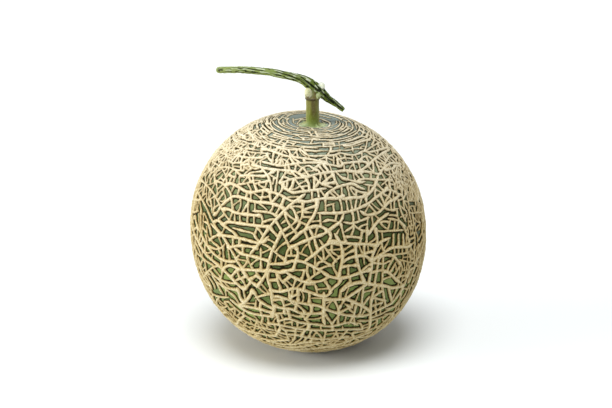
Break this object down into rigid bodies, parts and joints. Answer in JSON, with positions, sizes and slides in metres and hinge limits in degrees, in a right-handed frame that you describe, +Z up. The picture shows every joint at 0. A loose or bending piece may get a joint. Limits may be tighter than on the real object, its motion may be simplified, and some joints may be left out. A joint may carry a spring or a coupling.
{
  "type": "cantaloupe melon",
  "caption": "Round netted melon with green rind, cream cork net and a T-shaped stalk with a cut piece of vine.",
  "frame": {"origin": "middle of the small flat spot that the fruit rests on", "axes": "+Z up from the resting spot towards the stalk, +X towards the growing end of the cut vine, +Y away from the viewer"},
  "size_m": [0.1501, 0.1492, 0.1811],
  "materials": {
    "netted_rind": "dull green skin under a raised cream cork net",
    "stalk": "smooth waxy olive green",
    "vine": "ribbed, finely bristled green",
    "pale_tissue": "smooth pale cream green"
  },
  "bodies": {
    "root": {"fruit": "netted_rind", "fruit_stalk": "stalk", "vine_section": "vine", "leaf_stalk_stub": "pale_tissue", "side_shoot_stub": "pale_tissue"}
  },
  "joints": []
}
